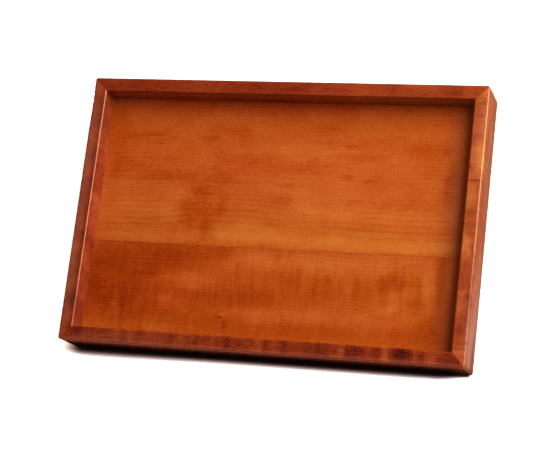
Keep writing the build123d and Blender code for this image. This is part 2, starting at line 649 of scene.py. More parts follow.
def board_values(look, point):
    """The figure with a little painted shade, brush strokes, gold, painted sheen and so on at one
    point of a board.
    """
    x, y = point.xy
    place = feather(x, y)
    return {
        "figure_and_painted_light": FIGURE_DEPTH * patch_sum(*place, look["patches"]),
        "brush": patch_sum(*combed(x, y), look["brushes"]),
        "gold": patch_sum(*place, look["golds"]),
        "lines": patch_sum(x, y, look["lines"]),
        # a pale painted reflection in the shade beside the right wall
        "haze": patch_sum(x, y, look["painted_sheens"]),
        "joint": SEAM_GLUE * bell(abs(y - SEAM_Y), SEAM_GLUE_WIDTH),
        "bend": look["bend"] * max(BEND_FROM_X - x, 0.0) * bell(y, BEND_WIDTH),
    }


def build_board(node, material, look):
    seam_cuts = []
    for away in SEAM_STRIPS:
        for side in (-1, 1):
            seam_cuts.append((Vector((0, SEAM_Y + side * away, 0)), AXES[1]))
    work = cut_copy(node, (look["step_x"], look["step_y"], 0), seam_cuts)
    layers = shape_and_paint(work, board_shift, lambda point: board_values(look, point))
    return as_piece(work, node + "_figured", node, material, layers)


# Wood looks

DARK_GLUE = srgb(44, 12, 4)

board_stops = [
    (0.0, srgb(78, 20, 2)),
    (0.2, srgb(111, 34, 3)),
    (0.4, srgb(138, 55, 10)),
    (0.6, srgb(158, 78, 30)),
    (0.8, srgb(173, 102, 52)),
    (1.0, srgb(186, 122, 70)),
]
rail_stops = [
    (0.0, srgb(46, 8, 4)),
    (0.2, srgb(76, 19, 8)),
    (0.4, srgb(101, 32, 10)),
    (0.6, srgb(126, 50, 19)),
    (0.8, srgb(150, 73, 32)),
    (1.0, srgb(174, 100, 48)),
]


def lacquered(name, **changes):
    """The tray's finish over a wood of its own figure."""
    look = {
        "offset": (0.0, 0.0, 0.0),
        "across": False,
        "lean": 0.0,
        "pith": (0.0, -0.045, -0.07),
        "ring": 1.9 * MM,
        "rings": 0.05,
        "stops": board_stops,
        "tone": 0.5,
        "mottle": 0.27,
        "fibre": 0.25,
        "fleck": 0.34,
        "dash": 0.08,
        "pore": 0.06,
        "cloud": 0.10,
        "curl": 0.05,
        "curtain": 0.0,
        "brush": 0.19,
        "wear": 0.18,
        "fine_colour": (0.31, 0.108, 0.032),
        "glue": DARK_GLUE,
        # the colour of the painted reflection sheen
        "haze": srgb(150, 92, 72),
        "roughness": 0.19,
        "shine": 0.8,
    }
    look.update(changes)
    return wood(name, look)


wide_wood = lacquered(
    "wide board, orange-brown stain", lean=0.3, ring=3.2 * MM, tone=0.585, shine=0.3
)
narrow_wood = lacquered(
    "narrow board, orange-red stain",
    offset=(3.0, 1.0, 0.4), pith=(0.0, 1.05, 0.28), ring=2.6 * MM, tone=0.56, shine=0.3,
    fibre=0.23, fleck=0.26, curl=0.24, curtain=0.17, rings=0.035, dash=0.05,
)
front_wood = lacquered(
    "front rail, red-brown stain",
    offset=(5.0, 0.3, 0.0), stops=rail_stops, tone=0.54, mottle=0.38, curl=0.38,
    pith=(0.0, 0.33, -0.05),
)
back_wood = lacquered(
    "back rail, red-brown stain",
    offset=(7.3, 0.8, 0.2), stops=rail_stops, tone=0.54, mottle=0.36, fibre=0.20, fleck=0.24,
    pith=(0.0, 0.87, 0.16),
)
left_wood = lacquered(
    "left rail, red-brown stain",
    offset=(9.1, 2.3, 0.7), across=True, stops=rail_stops, tone=0.60, curl=0.14, mottle=0.7,
    pith=(0.0, 2.4, 0.6),
)
right_wood = lacquered(
    "right rail, light red-brown stain",
    offset=(11.7, 3.9, 0.1), across=True, stops=rail_stops, tone=0.82, mottle=0.45, curl=0.30,
    # a paler colour for this rail's painted reflection sheen
    curtain=0.15, haze=srgb(154, 105, 88), pith=(0.0, 4.0, 0.02),
)

# Figure, placed one by one: x, y, half length, half width and share, in mm on the board

# Some entries below are painted light and shade rather than figure: the sheens, and the patches
# marked where they stand
plain_board = {"bend": 0.0, "brushes": []}
plain_rail = {
    "depth": 1.0,
    "inner_wall": (0.0, 0.0),
    "outer_wall": (0.0, 0.0),
    # the outer patches may hold painted light, and the sheens are painted reflections
    "outer_grain_and_painted_light": [],
    "outer_painted_sheens": [],
    "edge_painted_sheen": 0.0,
    "painted_sheens": [],
    "dulls": [],
    "wall_polish": 0.0,
}

wide_figure = {
    **plain_board,
    "step_x": 2.6 * MM,
    "step_y": 1.7 * MM,
    "bend": -0.08,
    "patches": [
        # the darker heart of the board, a ragged flame down from the back
        (-80, 18, 30, 34, -0.10), (-70, 45, 13, 9, -0.13), (-78, 56, 7, 4, -0.08),
        (-92, 28, 11, 8, -0.13), (-107, 12, 9, 11, -0.12), (-86, 12, 9, 10, -0.10),
        (-66, 14, 6, 12, -0.12), (-103, -5, 8, 6, -0.12), (-82, -11, 8, 12, -0.16),
        (-78, -22, 9, 3, -0.10), (-119, -17, 5, 8, -0.12),
        # streaks towards the back left corner
        (-208, 95, 24, 45, -0.13), (-195, 66, 8, 12, -0.08), (-158, 94, 24, 2.6, -0.17),
        (-148, 86, 10, 3, -0.10), (-180, 91, 16, 3, -0.08), (-86, 91, 12, 4, -0.09),
        (-55, 96, 14, 9, -0.10), (-66, 104, 26, 5, -0.05), (-135, 67, 24, 3, -0.08),
        (-135, 48, 34, 5, -0.10), (-150, 42.3, 50, 1.5, -0.16), (-86, 42, 4, 1.6, -0.16),
        (-200, 47, 12, 7, -0.08),
        # the middle and the right
        (-30, 66, 30, 16, -0.09), (-38, 41, 28, 3, -0.08), (-22, 26, 32, 9, -0.09),
        (22, 60, 32, 8, -0.12), (10, 40, 18, 3, -0.12), (4, 22, 14, 8, -0.11),
        (46, 105, 16, 7, -0.11), (47, 91, 14, 2.2, -0.14), (55, 85, 8, 2.5, -0.14),
        (78, 87, 14, 2.6, -0.14), (85, 75, 32, 4, -0.11), (158, 84, 26, 9, -0.12),
        (78, 52, 8, 3, -0.16), (100, 49, 9, 2.6, -0.15), (116, 45, 34, 9, -0.07),
        # the dark strip at 190 along deepens the shade beside the right wall: painted shade
        (88, 23, 10, 3.5, -0.13), (134, 22, 34, 6, -0.12), (190, 45, 7, 26, -0.15),
        (186, 84, 6, 6, -0.10), (-40, 48, 200, 20, -0.03),
        # paler growth in the middle and beside the seam
        (45, 27, 80, 24, 0.13), (135, 27, 70, 22, 0.08), (10, 62, 150, 24, 0.08),
        (-165, 24, 60, 20, 0.08), (-60, 26, 55, 26, 0.10), (-140, -24, 80, 8, 0.16),
        (-175, 4, 40, 14, 0.06), (-125, 4, 12, 19, 0.12), (-120, 28, 14, 10, 0.06),
        (-30, -17, 45, 12, 0.16), (40, 13, 26, 4, 0.08), (60, 6, 40, 9, 0.06),
        (130, -21, 95, 11, 0.16), (20, -20, 60, 12, 0.10), (110, 4, 90, 14, 0.06),
        (170, 42, 13, 14, 0.08), (20, 80, 60, 8, 0.05),
    ],
    # Painted reflections: pale sheens in the shade beside the right wall
    "painted_sheens": [(206, 60, 18, 110, 0.10), (198, 30, 8, 34, 0.10)],
    "golds": [
        (120, -22, 110, 11, 1.0), (60, 0, 150, 22, 0.55), (-40, -18, 40, 12, 0.9),
        # the plum strip along the back wall's foot, at 131 across, tints its shadow: painted shade
        (-160, -4, 50, 26, 0.6), (-20, 131, 215, 12, -0.7), (-80, 18, 30, 34, -0.15),
        (-150, 70, 90, 60, -0.15), (-30, 55, 60, 35, -0.3), (150, 85, 40, 20, -0.2),
        (130, 30, 60, 14, -0.2),
    ],
    "lines": [(-160, 0, 48, 20, 0.7), (-25, 14, 40, 18, 0.5), (130, -10, 80, 20, 0.7)],
}
narrow_figure = {
    **plain_board,
    "step_x": 1.9 * MM,
    "step_y": 1.9 * MM,
    "patches": [
        # the dark left third, with a plum-coloured patch that thins out along the seam
        (-190, -72, 68, 40, -0.24), (-170, -46, 70, 18, -0.12), (-92, -40, 50, 10, -0.15),
        (-114, -50, 28, 13, -0.10), (-140, -64, 14, 7, -0.10), (-130, -33, 110, 2.6, -0.07),
        (-52, -38, 12, 8, -0.08), (-185, -105, 55, 22, -0.10), (-145, -67, 24, 1.5, -0.09),
        (-168, -86, 40, 1.7, -0.08), (-208, -78, 8, 16, -0.10),
        # the red middle band
        (-60, -82, 60, 60, -0.06), (0, -121, 230, 11, -0.09), (105, -76, 85, 24, 0.07),
        (110, -46, 100, 12, 0.04), (-165, -80, 55, 60, -0.03), (-30, -90, 60, 12, -0.12),
        (-111, -114, 17, 8, -0.10), (-36, -60, 2.8, 15, -0.08), (28, -86, 40, 14, -0.09),
        (95, -79, 44, 15, -0.09), (140, -65, 24, 8, -0.12), (162, -86, 13, 11, -0.12),
        (40, -122, 50, 8, -0.06), (182, -115, 22, 16, -0.12),
        # the knot and its tail
        (-51.2, -112, 2.2, 1.6, -0.60), (-50, -108.5, 5.0, 2.4, 0.16), (-47, -121, 2.4, 8, -0.22),
        # paler growth
        (-92, -72, 36, 10, 0.14), (-85, -80.5, 42, 1.6, 0.06), (-178, -99, 3.5, 14, 0.14),
        (-150, -98, 2.4, 12, 0.12), (-117, -98, 12, 7, 0.08), (-135, -117, 75, 1.4, 0.05),
        (-150, -126, 70, 5, 0.08), (-15, -109, 14, 10, 0.09), (-15, -46, 50, 14, 0.12),
        (70, -46, 100, 11, 0.12), (20, -105, 60, 7, 0.07), (90, -108, 60, 9, 0.06),
        (133, -92, 15, 5, 0.12), (177, -66, 7, 30, 0.12),
    ],
    # Painted reflection: a pale sheen in the shade beside the right wall
    "painted_sheens": [(206, -80, 16, 70, 0.10)],
    "brushes": [
        # curly strokes that rise raggedly from the red band
        (6, -42, 3.5, 12, 0.45), (14, -69, 3.5, 13, 0.4), (24, -69, 5, 14, 0.5),
        (33, -65, 4.5, 18, 0.7), (53, -71, 5.5, 14, 0.62), (66, -71, 7, 14, 0.7),
        (80, -72, 4, 13, 0.45), (98, -72, 6, 13, 0.7), (110, -72, 6, 13, 0.45),
        (124, -68, 6, 12, 0.45), (134, -60, 10, 14, 0.5), (141, -50, 4, 20, 0.4),
        (149, -58, 4, 18, 0.55), (167, -70, 4.5, 22, 0.55), (190, -54, 6, 34, 0.8),
        (-20, -72, 3, 14, 0.35), (-38, -66, 3, 24, 0.35), (-62, -64, 3, 14, 0.3),
        (-95, -89, 2.2, 9, 0.6), (-87, -90, 2.2, 9, 0.5), (-80, -89, 2.2, 9, 0.5),
        (-73, -90, 2.2, 9, 0.5), (-66, -89, 2.2, 9, 0.45), (-60, -92, 2.2, 9, 0.4),
        (-196, -92, 4, 22, 0.18), (-166, -104, 3, 16, 0.30), (-140, -98, 3, 15, 0.18),
        (-128, -104, 3, 14, 0.22), (-205, -55, 5, 18, 0.30), (-175, -52, 4, 12, 0.25),
        (-18, -96, 3, 12, 0.30), (0, -84, 3.5, 12, 0.35), (45, -100, 3, 10, 0.25),
    ],
    "golds": [
        (-150, -75, 80, 50, -0.35), (-110, -48, 40, 14, -0.1), (0, -110, 90, 40, -0.1),
        (170, -85, 25, 30, 0.3), (20, -48, 60, 10, 0.2), (30, -84, 60, 18, -0.1),
        (110, -62, 100, 40, 0.35), (-15, -112, 20, 12, 0.3), (-130, -122, 80, 9, 0.3),
    ],
    "lines": [(80, -45, 90, 16, 1.0), (80, -100, 90, 22, 0.7), (-150, -110, 60, 18, 0.8)],
}

# The same on the rails: along the rail, out from its inner face

front_figure = {
    **plain_rail,
    # The front outer wall's tone runs from lighter at the top to near black at the foot: painted
    # light and shade. The patch and sheen at its right end are painted light where the rounded
    # corner catches the lamp, and the edge sheen and rim sheen are painted reflections
    "outer_grain_and_painted_light": [(229, 22, 10, 30, 1.1)],
    "outer_painted_sheens": [(229, 22, 9, 28, 0.7)],
    "outer_wall": (0.75, -0.9),
    "edge_painted_sheen": 0.25,
    "painted_sheens": [(-155, 10, 60, 6, 0.08)],
    "wall_polish": 0.33,
    "patches": [
        (-207, 4, 8, 7, -0.30), (-185, 2, 18, 6, -0.14), (-151, 8, 4, 30, -0.10),
        (-132, 6, 4.5, 12, -0.16), (-95.5, 8, 1.7, 30, -0.16), (-66, 8, 2.0, 30, -0.10),
        (-31, 8, 4, 20, -0.12), (11, 8, 1.6, 30, -0.14), (33, 7, 4, 30, -0.18),
        (60, 8, 6, 30, -0.08), (70.5, 8, 3, 30, -0.24), (79, 6, 5, 30, -0.16),
        (102, 8, 2, 30, -0.14), (110, 6, 6, 30, -0.22), (134, 6, 5, 20, -0.18),
        (161, 4, 12, 9, -0.36), (182, 8, 4, 14, -0.14), (213, 8, 12, 30, -0.20),
        (-160, 8, 4, 30, 0.10), (-142, 8, 4, 30, 0.06), (-84, 8, 5, 30, 0.10),
        (-47, 8, 4, 30, 0.12), (-38, 10, 3, 10, 0.10), (4, 8, 5, 30, 0.12), (22, 8, 4, 30, 0.10),
        (96, 8, 4, 12, 0.14), (143, 11, 4, 12, 0.22), (174, 6, 2.5, 12, 0.18),
        (193, 12, 5, 8, 0.22),
    ],
    "golds": [
        (4, 8, 20, 30, 0.3), (-207, 4, 10, 8, -0.3), (161, 4, 14, 10, -0.4),
        (110, 6, 10, 20, -0.4),
    ],
}
back_figure = {
    **plain_rail,
    "inner_wall": (0.52, 0.34),
    "patches": [
        (-175, 8, 12, 30, -0.05), (-95, 8, 20, 30, 0.06), (-45, 8, 25, 30, -0.04),
        (15, 7, 12, 3, -0.08), (85, 8, 12, 30, 0.08), (122, 6, 8, 30, -0.08),
        (150, 13, 18, 4, 0.05), (190, 5, 12, 3, -0.12), (205, 8, 6, 30, 0.10),
        # the dark line at 16.6 out, along the outer rim edge, is painted shade where the rounding
        # turns away from the lamp
        (222, 8, 8, 30, 0.12), (120, 8, 110, 40, 0.10), (0, 16.6, 400, 1.6, -0.30),
    ],
    "golds": [
        (-60, 8, 170, 60, -0.3), (205, 8, 12, 30, 0.45), (60, 5, 20, 4, -0.4),
        (150, 13, 20, 4, 0.4), (15, 6, 12, 3, -0.4),
    ],
}
left_figure = {
    **plain_rail,
    "inner_wall": (0.21, 0.16),
    # The rim sheens are painted reflections beside the inner edge's highlight
    "painted_sheens": [(-20, 10, 130, 6, 0.20), (95, 8, 50, 14, 0.10)],
    "dulls": [(-120, 0, 25, 4, 0.6)],
    "patches": [
        (0, 2.8, 300, 3, -0.12), (-104, 6, 8, 7, -0.22), (-140, 3, 6, 4, -0.12),
        (-72, 4, 8, 5, -0.12), (-35, 5, 8, 5, -0.18), (-60, 6, 10, 5, -0.08),
        (60, 5, 12, 6, -0.20), (30, 4, 10, 5, -0.10), (105, 5, 14, 5, -0.10),
        (125, 6, 6, 6, -0.10), (-125, 10, 8, 5, 0.08), (-92, 12, 7, 4, 0.10),
        (-50, 12, 10, 4, 0.08), (40, 9, 8, 4, 0.12), (85, 10, 8, 4, 0.08), (140, 10, 8, 6, 0.14),
        (0, -1, 60, 2.5, 0.09), (-120, -1, 7, 2.5, -0.14), (-98, -1, 6, 2.5, 0.12),
        (-64, -1, 10, 2.5, 0.08), (-34, -1, 7, 2.5, -0.12), (12, -1, 10, 2.5, 0.10),
        (44, -1, 7, 2.5, -0.10), (74, -1, 12, 2.5, 0.08), (108, -1, 12, 2.5, -0.12),
        # the dark line at 16.6 out, along the outer rim edge, is painted shade where the rounding
        # turns away from the lamp
        (-100, 4, 50, 8, -0.04), (0, 16.6, 300, 1.6, -0.30),
    ],
    "golds": [
        (0, -1, 170, 2.5, -0.6), (-145, 8, 10, 20, -0.3), (-80, 8, 12, 8, 0.4),
        (30, 8, 20, 8, -0.4), (70, 8, 15, 8, 0.3),
    ],
}
right_figure = {
    **plain_rail,
    "depth": 1.3,
    # Along the outer wall: stripes of the grain, and the lighter strip just under the rim edge at
    # 95 along, which is a painted highlight
    "outer_grain_and_painted_light": [
        (-125, 12, 22, 6, 0.22), (-112, 22, 24, 3, -0.30), (-125, 34, 26, 6, -0.22),
        (-80, 10, 18, 5, 0.14), (-75, 26, 18, 5, 0.16), (-55, 5, 14, 4, -0.22),
        (-54, 22, 10, 5, 0.18), (-30, 12, 30, 4, -0.18), (-25, 30, 30, 4, 0.10),
        (8, 24, 14, 14, -0.08), (35, 12, 26, 5, -0.16), (35, 32, 18, 5, 0.10),
        (72, 8, 16, 4, -0.14), (72, 32, 20, 5, -0.10), (97, 14, 16, 6, -0.20),
        (112, 28, 14, 6, 0.14), (135, 14, 16, 10, 0.08), (0, 16, 50, 10, -0.05),
        (-50, 30, 32, 16, 0.12), (-65, 8, 30, 10, 0.08), (-95, 27, 26, 5, 0.25),
        # the first patch here is the painted highlight strip under the rim edge
        (95, 3, 60, 3.5, 0.20), (95, 32, 50, 14, -0.12), (80, 42, 70, 8, -0.08),
        (-130, 38, 18, 9, -0.30),
    ],
    # The sheens on the outer wall are painted reflections
    "outer_painted_sheens": [
        (-125, 15, 32, 10, 0.85), (-95, 27, 28, 6, 0.65), (-72, 37, 42, 7, 0.45),
        (-95, 47, 60, 5, 0.55), (-65, 8, 30, 9, 0.45), (-50, 26, 36, 16, 0.20),
        (60, 26, 90, 22, 0.12), (10, 48, 80, 5, 0.25),
    ],
    "outer_wall": (0.20, 0.18),
    # The edge sheen and the rim sheens are painted reflections beside the rim's highlight
    "edge_painted_sheen": 0.05,
    "painted_sheens": [(-125, 16.5, 40, 2.5, 0.3), (95, 8, 50, 14, 0.06)],
    "dulls": [(-110, 15, 60, 6, 0.75), (-20, 15, 60, 5, 0.35)],
    "patches": [
        (-114, 8, 5, 6, -0.16), (-78, 12.5, 3.6, 4, -0.26), (-50, 3, 12, 4, -0.07),
        (-3, 5, 8, 5, -0.09), (-100, 10, 8, 3, -0.06), (12, 8, 5, 8, -0.10),
        (46.5, 9, 1.3, 7, -0.30), (60, 2, 6, 3, -0.12), (90, 3, 18, 3, -0.08),
        (125, 3, 10, 3, -0.10), (132, 10, 1.6, 6, -0.14), (-110, 8, 60, 40, -0.07),
        (-133, 8, 0.9, 8, -0.14), (-128, 8, 0.9, 8, -0.10), (118, 8, 1.0, 8, -0.10),
        (22, 6, 1.0, 8, -0.08), (-74, 6, 4, 7, 0.10), (-137, 8, 5, 8, 0.10), (-90, 6, 8, 5, 0.06),
        (-25, 6, 12, 6, 0.18), (28, 6, 9, 6, 0.13), (40, 6, 4, 6, 0.07), (75, 12, 25, 4, 0.14),
        (82, 6, 5, 5, 0.10), (110, 12, 12, 4, 0.08), (145, 10, 6, 5, 0.18),
        (-70, 13.6, 80, 1.8, -0.18),
    ],
    "golds": [
        (70, 8, 110, 40, 0.7), (85, 11, 60, 7, 0.5), (-50, 3, 14, 5, -0.5), (95, 3, 30, 4, -0.4),
        (-25, 6, 20, 8, 0.3),
    ],
}

build_rail("front_rail", front_wood, front_figure)
build_rail("back_rail", back_wood, back_figure)
build_rail("left_rail", left_wood, left_figure)
build_rail("right_rail", right_wood, right_figure)
build_board("wide_floor_board", wide_wood, wide_figure)
build_board("narrow_floor_board", narrow_wood, narrow_figure)

# Bare wood, inside the joints

bare_stops = [
    (0.0, srgb(128, 84, 48)),
    (0.5, srgb(176, 130, 84)),
    (1.0, srgb(208, 168, 120)),
]
bare_wood = lacquered(
    "sawn bare wood",
    stops=bare_stops, offset=(13.0, 5.0, 0.3), pith=(0.0, 5.2, 0.1), fibre=0.5,
    glue=srgb(120, 80, 46), roughness=0.62, shine=0.3,
)
for node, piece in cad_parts.items():
    if node.startswith("mitre_spline") or node == "floor_loose_tongue":
        for place in piece.material_slots:
            place.material = bare_wood

# Felt pads

WOOL_FEATURES = (2600, 2600, 2600)
WOOL_DETAIL = {"detail": 3, "roughness": 0.65, "warp": 1.2}
CLUMP_FEATURES = (500, 500, 500)
CLUMP_WEIGHT = 0.5
WOOL_LEVELS = (0.2, 0.8)
FELT_ROUGHNESS = (0.86, 0.98)
FELT_BUMP = {"Strength": 0.8, "Distance": 0.3 * MM}
felt_stops = [
    (0.2, srgb(34, 24, 18)),
    (0.55, srgb(66, 48, 38)),
    (0.85, srgb(104, 82, 66)),
]

# The loose hairs: how much each rises from its ends, and how its size varies
NAP = {
    "Hairs per square metre": 4.5e6,
    "Hair length": 1.3 * MM,
    "Hair thickness": 0.03 * MM,
}
HAIR_RISE = 0.14
HAIR_SIZES = (0.6, 1.2)
HAIR_STEPS = 3
HAIR_SIDES = 3

# A pad's rough body, and the heights that its hairs stay between
SIDEWAYS = Vector((1, 1, 0))
PAD_STEPS = (0.9 * MM, 0.9 * MM, 0.5 * MM)
PAD_ROUGH_FEATURES = 900
PAD_DRAW_IN = 0.035
PAD_LEAST_DRAW_IN = 0.4
PAD_LIFT = 0.08 * MM
NAP_LOWEST = 0.02 * MM
NAP_HIGHEST = 1.95 * MM


def felt():
    material, tree = new_material("pressed brown felt")
    place = tree.add("ShaderNodeTexCoord").outputs["Object"]
    wool = tree.noise(place, WOOL_FEATURES, **WOOL_DETAIL)
    tone = tree.swing(wool, tree.noise(place, CLUMP_FEATURES), CLUMP_WEIGHT)
    bump = tree.add("ShaderNodeBump", {"Height": wool, **FELT_BUMP}).outputs["Normal"]
    shader = tree.add(
        "ShaderNodeBsdfPrincipled",
        {
            "Base Color": tree.ramp(tone, felt_stops),
            "Roughness": tree.span(wool, *WOOL_LEVELS, *FELT_ROUGHNESS),
            "Normal": bump,
            "Specular IOR Level": 0.2,
            "Sheen Weight": 0.25,
            "Sheen Roughness": 0.5,
            "Sheen Tint": (0.85, 0.75, 0.65, 1.0),
        },
    )
    tree.finish(shader)
    return material


def hair(tree, given):
    """One bent hair, lying on its middle."""
    half = tree.math("MULTIPLY", given["Hair length"], 0.5)
    up = tree.math("MULTIPLY", given["Hair length"], HAIR_RISE)
    end = tree.add("ShaderNodeCombineXYZ", {"X": half}).outputs[0]
    start = tree.vector("MULTIPLY", end, (-1, -1, -1))
    middle = tree.add("ShaderNodeCombineXYZ", {"Y": up, "Z": up}).outputs[0]
    arc = tree.add(
        "GeometryNodeCurveQuadraticBezier",
        {"Resolution": HAIR_STEPS, "Start": start, "Middle": middle, "End": end},
    )
    section = tree.add(
        "GeometryNodeCurvePrimitiveCircle",
        {"Resolution": HAIR_SIDES, "Radius": given["Hair thickness"]},
    )
    curves = {"Curve": arc.outputs[0], "Profile Curve": section.outputs[0], "Fill Caps": True}
    return tree.add("GeometryNodeCurveToMesh", curves).outputs[0]


def strewn_hairs(tree, given):
    """The hair at random points of the body, each with its own turn and size."""
    scatter = tree.add(
        "GeometryNodeDistributePointsOnFaces",
        {
            "Mesh": given["Geometry"],
            "Density": given["Hairs per square metre"],
            "Seed": given["Seed"],
        },
    ).outputs
    turn = tree.add(
        "FunctionNodeRandomValue",
        {"Min": 0.0, "Max": math.tau, "Seed": given["Seed"]},
        data_type="FLOAT",
    )
    about = tree.add("ShaderNodeCombineXYZ", {"Z": turn.outputs[1]}).outputs[0]
    spun = tree.add(
        "FunctionNodeRotateRotation",
        {"Rotation": scatter["Rotation"], "Rotate By": about},
        rotation_space="LOCAL",
    )
    size = tree.add(
        "FunctionNodeRandomValue",
        {2: HAIR_SIZES[0], 3: HAIR_SIZES[1], "Seed": given["Seed"]},
        data_type="FLOAT",
    )
    return tree.add(
        "GeometryNodeInstanceOnPoints",
        {
            "Points": scatter["Points"],
            "Instance": hair(tree, given),
            "Rotation": spun.outputs[0],
            "Scale": size.outputs[1],
        },
    )


def nap_group(material):
    """A felt body and the loose hairs on it."""
    group = bpy.data.node_groups.new("felt nap", "GeometryNodeTree")
    sockets = group.interface
    sockets.new_socket("Geometry", in_out="INPUT", socket_type="NodeSocketGeometry")
    for label in NAP:
        sockets.new_socket(label, in_out="INPUT", socket_type="NodeSocketFloat")
    sockets.new_socket("Seed", in_out="INPUT", socket_type="NodeSocketInt")
    sockets.new_socket("Geometry", in_out="OUTPUT", socket_type="NodeSocketGeometry")
    tree = Tree(group)
    given = tree.add("NodeGroupInput").outputs
    joined = tree.add(
        "GeometryNodeJoinGeometry", {"Geometry": strewn_hairs(tree, given).outputs[0]}
    )
    tree.links.new(given["Geometry"], joined.inputs["Geometry"])
    real = tree.add("GeometryNodeRealizeInstances", {"Geometry": joined.outputs[0]})
    dressed = tree.add(
        "GeometryNodeSetMaterial", {"Geometry": real.outputs[0], "Material": material}
    )
    tree.add("NodeGroupOutput", {"Geometry": dressed.outputs[0]})
    return group


def felt_body(node):
    """A pad's body with a rough, slightly drawn-in side."""
    work = cut_copy(node, PAD_STEPS)
    low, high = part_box(node)
    middle = (low + high) / 2
    for vertex in work.verts:
        rough = waviness(vertex.co, PAD_ROUGH_FEATURES)
        outward = (vertex.co - middle) * SIDEWAYS
        vertex.co -= outward * PAD_DRAW_IN * (PAD_LEAST_DRAW_IN + rough)
        if vertex.co.z < middle.z:
            vertex.co.z += PAD_LIFT * rough
    mesh = bpy.data.meshes.new("felt body")
    work.to_mesh(mesh)
    work.free()
    body = bpy.data.objects.new("felt body", mesh)
    scene.collection.objects.link(body)
    return body


def build_pad(node, group, seed):
    body = felt_body(node)
    nap = body.modifiers.new("nap", "NODES")
    nap.node_group = group
    chosen = {**NAP, "Seed": seed}
    for item in group.interface.items_tree:
        if item.in_out == "INPUT" and item.name in chosen:
            nap[item.identifier] = chosen[item.name]
    body.update_tag()
    bpy.context.view_layer.update()
    seen = body.evaluated_get(bpy.context.evaluated_depsgraph_get())
    final = bpy.data.meshes.new_from_object(seen)
    final.name = node + "_felt"
    for vertex in final.vertices:
        vertex.co.z = min(max(vertex.co.z, NAP_LOWEST), NAP_HIGHEST)
    piece = bpy.data.objects.new(node + "_felt", final)
    scene.collection.objects.link(piece)
    bpy.data.objects.remove(body)
    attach(piece, "root")
    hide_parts(node)
    return piece


felt_nap = nap_group(felt())
pad_nodes = sorted(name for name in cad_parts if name.startswith("felt_pad"))
for seed, node in enumerate(pad_nodes, start=1):
    build_pad(node, felt_nap, seed)

# The stage: its tones are made for the photo's view

# The table's colour is painted: a dark contact shadow near the tray, and the tray's own open shadow
# painted bright
STAGE_REACH = 9.0

# The painted contact shadow, as distances from the foot of the front wall
SHADE_TURN = 10 * MM
SHADE_TURN_SHARE = 0.42
SHADE_LEFT_END = -200 * MM
SHADE_MIDDLE = -40 * MM
SHADE_REACH_LEFT = 15.4 * MM
SHADE_REACH_MIDDLE = 11.3 * MM
SHADE_REACH_RIGHT = 6.5 * MM
SHADE_DARK_LEFT = 0.2 * MM
SHADE_DARK_RIGHT = -1.0 * MM
RIGHT_END = (TRAY_LENGTH / 2 - 42 * MM, TRAY_LENGTH / 2 - 6 * MM)

# Where the lit sides begin, and how far out the tray's open shade reaches, where the table is
# painted bright over its real shade
LIT_RIGHT = (TRAY_LENGTH / 2 - 7 * MM, TRAY_LENGTH / 2 - 1 * MM)
LIT_BACK = (TRAY_WIDTH / 2 - 2 * MM, TRAY_WIDTH / 2 + 6 * MM)
SHADE_ENDS = (30 * MM, 90 * MM)
TINT_RISES = (8 * MM, 26 * MM)
SWEEP_ZONE = (0.45, 1.1)

# Painted tones and tints, from the painted contact shadow out to the open table; the shaded tone
# paints the tray's open shade bright
CONTACT_TONE = 0.02
OPEN_TONE = 0.95
SHADED_TONE = 4.0
CONTACT_TINT = (1.0, 0.72, 0.98, 1.0)
OPEN_TINT = (1.0, 1.06, 1.16, 1.0)
NEAR_TINT = (1.0, 1.5, 1.75, 1.0)
SHADE_TINT = (1.0, 1.5, 2.1, 1.0)
WHITE = (1.0, 1.0, 1.0, 1.0)

# What the tray's walls mirror and catch from the stage
BOUNCE_DARK = (0.01, 0.006, 0.005, 1.0)
BOUNCE_RIGHT = (0.16, 0.08, 0.055, 1.0)
CARD_COLOUR = (1.65, 0.44, 0.25, 1.0)
CARD_FROM = (4.2 * MM, 15 * MM)
CARD_TO = (120 * MM, 500 * MM)


def painted_contact_shadow(tree, x, ahead):
    """A painted contact shadow: 0 close to the foot of the front wall and round its left end, 1 out
    of the shade.
    """
    left_of = tree.math("SUBTRACT", SHADE_TURN - TRAY_LENGTH / 2, x)
    beyond = tree.math("MULTIPLY", tree.math("MAXIMUM", left_of, 0.0), SHADE_TURN_SHARE)
    squares = tree.math(
        "ADD", tree.math("MULTIPLY", ahead, ahead), tree.math("MULTIPLY", beyond, beyond)
    )
    gap = tree.math("SQRT", squares)
    reach = tree.span(x, SHADE_LEFT_END, SHADE_MIDDLE, SHADE_REACH_LEFT, SHADE_REACH_MIDDLE)
    reach = tree.span(x, *RIGHT_END, reach, SHADE_REACH_RIGHT)
    dark = tree.span(x, *RIGHT_END, SHADE_DARK_LEFT, SHADE_DARK_RIGHT)
    return tree.span(gap, dark, reach)


def stage_colour(tree, x, y, ahead, in_front, to_right):
    """The table as the camera sees it: a painted contact shadow, the open shade painted bright and
    cool, and full light.
    """
    contact = painted_contact_shadow(tree, x, ahead)
    lit_side = tree.math("MAXIMUM", to_right, tree.span(y, *LIT_BACK))
    left_side = tree.math("SUBTRACT", -TRAY_LENGTH / 2, x)
    away = tree.math("MAXIMUM", in_front, left_side)
    near = tree.span(away, *SHADE_ENDS, 1.0, 0.0)
    shaded = tree.math("MULTIPLY", near, tree.math("SUBTRACT", 1.0, lit_side))
    open_tone = tree.span(shaded, 0.0, 1.0, OPEN_TONE, SHADED_TONE)
    clear = tree.math("MAXIMUM", contact, to_right)
    tone = tree.span(clear, 0.0, 1.0, CONTACT_TONE, open_tone)
    open_shade = tree.math("MULTIPLY", shaded, tree.span(away, *TINT_RISES))
    pale_end = tree.mix(shaded, OPEN_TINT, NEAR_TINT)
    tint = tree.mix(contact, CONTACT_TINT, pale_end)
    return tree.vector("MULTIPLY", tone, tree.mix(open_shade, tint, SHADE_TINT))


